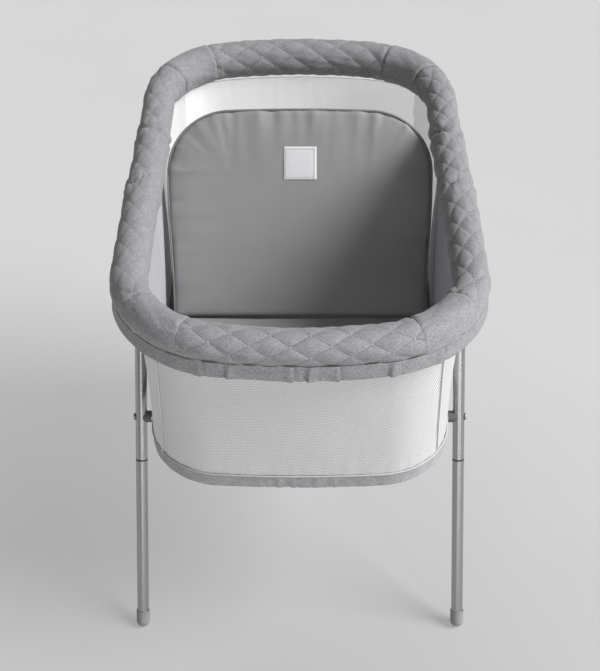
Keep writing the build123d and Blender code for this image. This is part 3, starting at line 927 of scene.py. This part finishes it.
def make_base(end_name):
    """Cloth band and floor of one half of the basket: the band, a rounded edge and the floor."""
    end = ENDS[end_name]
    profile = []
    for k in range(9):
        profile.append((BAND_TOP - (BAND_TOP - BAG_BOTTOM - EDGE_ROUND) * k / 8, 0.0))
    for k in range(1, 7):
        angle = math.pi / 2 * k / 6
        z = BAG_BOTTOM + EDGE_ROUND * (1 - math.sin(angle))
        profile.append((z, EDGE_ROUND * (1 - math.cos(angle))))
    rows = []
    for index, (z, inset) in enumerate(profile):
        row = []
        for i in range(WALL_STEPS + 1):
            share = basket_share(end, i / WALL_STEPS)
            crumple = bell(share - basket_share(end, 0.5), 0.030)
            fold = 0.0026 * crumple * waves(share * 420, z * 8, 3.0, 2)
            soft = 0.0009 * waves(share * 120, z * 20, 5.0, 2)
            lip = 0.0010 if index == 0 else 0.0
            point, _ = basket_point(share, z, inset - fold - soft + 0.0002 + lip)
            row.append(point)
        rows.append(row)
    centre_rows = 10
    edge = rows[-1]
    for k in range(1, centre_rows + 1):
        shrink = 1 - k / centre_rows
        row = []
        for point in edge:
            sag = 0.0006 * waves(point.x * 12, point.y * 12, 8.0, 2) * (1 if k < centre_rows else 0)
            row.append(Vector((point.x * shrink, point.y * shrink, point.z + abs(sag))))
        rows.append(row)
    middle = WALL_STEPS // 2
    depth = [0.0]
    for above, below in zip(rows, rows[1:]):
        depth.append(depth[-1] + (below[middle] - above[middle]).length)

    def weave(k, i):
        return (i / WALL_STEPS * perimeter(BAG_FLOOR) / 2, depth[k])

    base = grid_object(f"basket_base_cloth_{end_name}", rows, BAND_CLOTH, maps={"weave": weave})
    turn_outwards(base)
    thicken(base, 0.0018, -1)
    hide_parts(f"basket_base_{end_name}")
    return base


def seam_cord(name, end, side):
    """Raised cord seam between a net end panel and a side panel."""
    points = []
    for k in range(40):
        z = BAG_TOP - 0.002 + (BAND_TOP - BAG_TOP) * k / 39
        point, _ = basket_point(seam_share(end, side, k / 39), z, -0.0008)
        points.append(point)
    return tube_along(name, points, 0.0011, SIDE_TAPE)


def band_edge(end_name):
    """Piped edge where the net meets the cloth band."""
    end = ENDS[end_name]
    points = []
    for i in range(161):
        share = basket_share(end, i / 160)
        point, _ = basket_point(share, BAND_TOP + 0.0005, -0.0006)
        points.append(point)
    return tube_along(f"band_edge_{end_name}", points, 0.0013, PIPING_PALE)


def side_lap(end_name, side_name):
    """Narrow tape over the seam in the middle of each side of the basket, on one half."""
    side = SIDES[side_name]
    rows = []
    for k in range(41):
        z = BAG_TOP + (BAG_BOTTOM + 0.006 - BAG_TOP) * k / 40
        base, _ = basket_point(0.0 if side > 0 else 0.5, z, -0.0005)
        row = []
        for j in range(7):
            across = j / 3 - 1
            row.append(Vector((base.x + side * 0.0006 * (1 - across**2), 0.006 * across, z)))
        rows.append(row)
    tape = grid_object(f"side_seam_tape_{side_name}", rows, SIDE_TAPE)
    thicken(tape, 0.0008)
    return tape


def flatten_with_fold(piece):
    """Gives a soft basket piece its own copy of its mesh."""
    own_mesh(piece)


# ---- the mattress ----------------------------------------------------
FILL_FRAMES = 20
FILL_CAP = 0.003


def pad_spread(y):
    """The pad is a little wider in its upper part than at the fold."""
    return 1 + 0.035 * smooth(y, 0.02, 0.22)


def pad_outline(inset, count):
    """Half outline of a mattress half, in its own plane: x across, y from the fold line."""
    size = (PAD[0] - inset, PAD[1] - inset, PAD[2] - inset, PAD[3] - inset)
    points = []
    for i in range(count + 1):
        point, _ = outline_point(size, 0.5 * i / count)
        points.append((point.x * pad_spread(point.y), point.y))
    return points


def pad_seed(name, thickness, inset):
    """Closed plain slab in the pad's plane, a little smaller than the finished pad."""
    outline = [(x, y if y > inset else -0.003) for x, y in pad_outline(inset, 72)]
    count = len(outline)
    low = [Vector((x, y, -thickness + inset * 0.5)) for x, y in outline]
    high = [Vector((x, y, -inset * 0.5)) for x, y in outline]
    faces = [list(range(count))[::-1], [count + i for i in range(count)]]
    for i in range(count):
        j = (i + 1) % count
        faces.append([i, j, count + j, count + i])
    return new_object(name, low + high, faces, COVER)


def inflate(pad):
    """Fills the pad with a short cloth simulation, and limits how far any point moves."""
    remesh = pad.modifiers.new("even", "REMESH")
    remesh.mode = "VOXEL"
    remesh.voxel_size = 0.006
    apply_modifiers(pad)
    start = [v.co.copy() for v in pad.data.vertices]
    cloth = pad.modifiers.new("fill", "CLOTH")
    cloth.settings.quality = 5
    cloth.settings.mass = 0.2
    cloth.settings.tension_stiffness = 12
    cloth.settings.compression_stiffness = 12
    cloth.settings.bending_stiffness = 0.3
    cloth.settings.use_pressure = True
    cloth.settings.uniform_pressure_force = 4
    cloth.settings.effector_weights.gravity = 0
    cloth.point_cache.frame_start = 1
    cloth.point_cache.frame_end = FILL_FRAMES
    for number in range(1, FILL_FRAMES + 1):
        bpy.context.scene.frame_set(number)
    apply_modifiers(pad)
    bpy.context.scene.frame_set(1)
    for vertex, before in zip(pad.data.vertices, start):
        move = vertex.co - before
        if move.length > FILL_CAP:
            vertex.co = before + move.normalized() * FILL_CAP


PAD_EDGE = pad_outline(0.0, 240)
PAD_EDGE_LENGTH = perimeter(PAD) / 2


def edge_distance(x, y):
    """Distance from a point of the pad's plane in to its outline, and the place along it, as a
    share of its length."""
    gaps = [math.hypot(x - edge_x, y - edge_y) for edge_x, edge_y in PAD_EDGE]
    best = min(gaps)
    return best, gaps.index(best) / len(PAD_EDGE)


def gather(pad, thickness):
    """Gathers that run in from the piped seam, and a low crown between them."""
    for vertex in pad.data.vertices:
        x, y, z = vertex.co
        if z < -thickness * 0.6:
            continue
        gap, place = edge_distance(x, y)
        along = place * PAD_EDGE_LENGTH
        reach = 0.024 + 0.020 * (1 + waves(along * 16, 3.0, 1.0, 2))
        fade = math.exp(-gap / reach) * smooth(gap, 0.0, 0.006)
        top_edge = smooth(y, 0.10, 0.30)
        fold = waves(along * 42, gap * 5, 4.0, 2)
        vertex.co.z += (0.0024 + 0.0042 * top_edge) * fade * fold
        vertex.co.z += 0.0012 * waves(x * 5, y * 5, 2.0, 2)
        vertex.co.z = min(vertex.co.z, 0.006)


def place_pad(pad, across, along, normal, origin):
    """Puts a pad from its own plane into the frame."""
    for vertex in pad.data.vertices:
        x, y, z = vertex.co
        vertex.co = origin + across * x + along * y + normal * z


def refine(pad):
    extra = pad.modifiers.new("fine", "SUBSURF")
    extra.levels = 1
    extra.render_levels = 1
    apply_modifiers(pad)
    for polygon in pad.data.polygons:
        polygon.use_smooth = True


def piping_line(height, inset):
    return [Vector((x, max(y, 0.003), height)) for x, y in pad_outline(inset, 120)]


def make_pad(name, thickness, frame_of_pad, node, body):
    """One half of the mattress: the pad and the piping on its upper edge."""
    pad = pad_seed(name, thickness, 0.0018)
    inflate(pad)
    gather(pad, thickness)
    refine(pad)
    piping = tube_along(f"{name}_piping", piping_line(-0.0046, 0.0042), 0.0018, PIPING)
    place_pad(pad, *frame_of_pad)
    place_pad(piping, *frame_of_pad)
    face_outwards(pad)
    face_outwards(piping)
    pad.data.materials.clear()
    pad.data.materials.append(COVER)
    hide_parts(node)
    for piece in (pad, piping):
        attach(piece, body)
        flatten_with_fold(piece)


def make_label():
    """Square blank label, slightly domed, with a stitched border."""
    low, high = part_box("label_patch")
    middle = (low + high) / 2
    half = (high.x - low.x) / 2
    rise = BACK_NORMAL * 0.0022
    rows = []
    count = 24
    for i in range(count + 1):
        v = 2 * i / count - 1
        row = []
        for j in range(count + 1):
            u = 2 * j / count - 1
            dome = 0.0009 * (1 - u**4) * (1 - v**4)
            groove = 0.0005 * max(bell(max(abs(u), abs(v)) - 0.86, 0.03), 0)
            lift = rise + BACK_NORMAL * (dome - groove)
            row.append(middle + Vector((1, 0, 0)) * (u * half) + BACK_UP * (v * half) + lift)
        rows.append(row)
    label = grid_object("blank_label", rows, LABEL)
    thicken(label, 0.0012)
    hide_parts("label_patch")
    stitches = label_stitches(middle, half * 0.86, rise + BACK_NORMAL * 0.0011)
    for piece in (label, stitches):
        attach(piece, "backrest")


BOX_CORNERS = [(a, b, c) for a in (-1, 1) for b in (-1, 1) for c in (-1, 1)]
BOX_FACES = [(0, 1, 3, 2), (4, 6, 7, 5), (0, 4, 5, 1), (2, 3, 7, 6), (0, 2, 6, 4), (1, 5, 7, 3)]


def label_stitches(middle, half, lift):
    """Thread stitches round the label, as one piece."""
    vertices = []
    faces = []
    count = 15
    length = 2 * half / count
    for edge in range(4):
        for k in range(count):
            t = -half + (k + 0.5) * length
            along, across = ((1, 0), (0, 1)) if edge % 2 == 0 else ((0, 1), (1, 0))
            sign = 1 if edge < 2 else -1
            centre = (along[0] * t + across[0] * sign * half, along[1] * t + across[1] * sign * half)
            start = len(vertices)
            for a, b, c in BOX_CORNERS:
                u = centre[0] + along[0] * a * length * 0.32 + across[0] * b * 0.00035
                v = centre[1] + along[1] * a * length * 0.32 + across[1] * b * 0.00035
                place = middle + Vector((1, 0, 0)) * u + BACK_UP * v + lift + BACK_NORMAL * c * 0.0003
                vertices.append(place)
            faces.extend([[start + i for i in face] for face in BOX_FACES])
    return new_object("label_stitches", vertices, faces, THREAD)


# ---- the stand and the hidden hardware -------------------------------
CAD_FINISHES = {
    "leg_upper": TUBE,
    "leg_lower": TUBE,
    "cross_bar": TUBE,
    "rim_tube": DRAWN_METAL,
    "backrest_prop": DRAWN_METAL,
    "pivot_bolts": STEEL,
    "pivot_nuts": STEEL,
    "bar_bolts": STEEL,
    "button_spring": STEEL,
    "foot_cap": CAP_PLASTIC,
    "bar_saddles": GREY_PLASTIC,
    "rim_plug": GREY_PLASTIC,
    "leg_knuckle": GREY_PLASTIC,
    "fold_button": GREY_PLASTIC,
    "hub_spacers": GREY_PLASTIC,
    "prop_clips": GREY_PLASTIC,
    "leg_bushes": DARK_PLASTIC,
}


def finish_cad_nodes():
    for name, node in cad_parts.items():
        for start, material in CAD_FINISHES.items():
            if name.startswith(start):
                node.data.materials.clear()
                node.data.materials.append(material)


def folding_panel(node_name, body):
    """A stiff panel inside the basket, attached to a body as the cloth is."""
    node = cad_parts[node_name]
    vertices = [node.matrix_world @ v.co for v in node.data.vertices]
    faces = [list(polygon.vertices) for polygon in node.data.polygons]
    panel = new_object(f"{node_name}_panel", vertices, faces, BOARD, smooth_faces=False)
    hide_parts(node_name)
    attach(panel, body)
    flatten_with_fold(panel)


# ---- studio ----------------------------------------------------------
FLOOR_REACH = 14.0
FLOOR_GLOW = 0.430
FLOOR_SHADE = 0.19        # painted shadow: the glow is weaker by this under the middle of the bassinet
WORLD_LIGHT = 0.17
KEY_ENERGY = 4.25
KEY_ANGLE = math.radians(32)
KEY_DIRECTION = (-0.94, 0.12, -0.84)
CAMERA_PITCH = 40.0       # degrees down from level, looking at the foot end
CAMERA_PLACE = (0.0, -1.910, 1.993)
CAMERA_LENS = 75.06


def floor_cloth():
    """Pale backdrop that glows a little, as if lit from below, with a painted shadow where it glows
    less under the bassinet.
    """
    n = Nodes("studio_floor")
    soft = n.noise(n.place(), 3.0, 2.0)
    colour = n.ramp(soft, grey(0.220, (1, 1, 1)), grey(0.230, (1, 1, 1)))
    shade = n.add("ShaderNodeTexGradient", gradient_type="SPHERICAL")
    centre = n.add("ShaderNodeMapping")
    centre.inputs["Scale"].default_value = (0.9, 0.8, 1.0)
    centre.inputs["Location"].default_value = (0.0, 0.52, 0.0)
    n.link(n.place(), centre.inputs["Vector"])
    n.link(centre.outputs["Vector"], shade.inputs["Vector"])
    # painted shadow: the glow falls off in a soft round patch near the bassinet
    lit = n.math("SUBTRACT", FLOOR_GLOW, n.math("MULTIPLY", shade.outputs["Fac"], FLOOR_SHADE))
    return n.finish(colour, Roughness=0.9, Specular_IOR_Level=0.1,
                    Emission_Color=(1.0, 1.0, 1.0, 1.0), Emission_Strength=lit)


def make_studio():
    corners = [(FLOOR_REACH * x, FLOOR_REACH * y, 0) for x, y in ((-1, -1), (1, -1), (1, 1), (-1, 1))]
    floor = new_object("studio_floor", corners, [(0, 1, 2, 3)], floor_cloth())
    world = bpy.data.worlds.new("studio")
    world.use_nodes = True
    background = world.node_tree.nodes["Background"]
    background.inputs["Color"].default_value = (1.0, 1.0, 1.0, 1)
    background.inputs["Strength"].default_value = WORLD_LIGHT
    bpy.context.scene.world = world
    bpy.context.scene.view_settings.view_transform = "Standard"
    key = add_light("key", "SUN", KEY_ENERGY, (0, 0, 0), KEY_DIRECTION)
    key.angle = KEY_ANGLE
    front = add_light("front", "AREA", 25.0, (0.2, -3.4, 1.3), (0.0, 0.0, 0.4))
    front.size = 2.0
    # a tall narrow light gives the tubes their bright stripe
    strip = add_light("strip", "AREA", 11.0, (1.6, -2.4, 1.15), (0.0, -0.2, 0.5))
    strip.shape = "RECTANGLE"
    strip.size = 0.22
    strip.size_y = 1.6


def add_light(name, kind, energy, place, target):
    data = bpy.data.lights.new(name, kind)
    data.energy = energy
    light = bpy.data.objects.new(name, data)
    light.location = place
    light.rotation_euler = (Vector(target) - Vector(place)).to_track_quat("-Z", "Y").to_euler()
    bpy.context.scene.collection.objects.link(light)
    return data


def make_camera():
    data = bpy.data.cameras.new("camera")
    data.sensor_fit = "VERTICAL"
    data.sensor_height = 36.0
    data.lens = CAMERA_LENS
    camera = bpy.data.objects.new("camera", data)
    camera.location = CAMERA_PLACE
    camera.rotation_euler = (math.radians(90 - CAMERA_PITCH), 0, 0)
    bpy.context.scene.collection.objects.link(camera)
    bpy.context.scene.camera = camera


# ---- build -----------------------------------------------------------
make_camera()
make_studio()
finish_cad_nodes()
make_roll()
make_skirt()
for end_name, end_sign in ENDS.items():
    body = f"{end_name}_rim"
    wall = make_wall(end_name)
    base = make_base(end_name)
    edge = band_edge(end_name)
    parts = [wall, base, edge]
    for side_name, side_sign in SIDES.items():
        cord = seam_cord(f"corner_seam_{end_name}_{side_name}", end_sign, side_sign)
        parts.append(cord)
    for piece in parts:
        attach(piece, body)
        flatten_with_fold(piece)
for side_name in SIDES:
    tape = side_lap("front", side_name)
    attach(tape, "front_rim")
    flatten_with_fold(tape)

ACROSS = Vector((1, 0, 0))
FOOT_FRAME = (ACROSS * -1, Vector((0, -1, 0)), Vector((0, 0, 1)), FOLD_LINE)
HEAD_FRAME = (ACROSS, BACK_UP, BACK_NORMAL, FOLD_LINE)
FOOT_THICKNESS = foot_high.z - foot_low.z
make_pad("mattress_foot_pad", FOOT_THICKNESS, FOOT_FRAME, "mattress_foot", "front_rim")
make_pad("mattress_head_pad", HEAD_FOAM, HEAD_FRAME, "mattress_head", "backrest")
make_label()
folding_panel("base_board_front", "front_rim")
folding_panel("base_board_rear", "rear_rim")
folding_panel("head_board", "backrest")
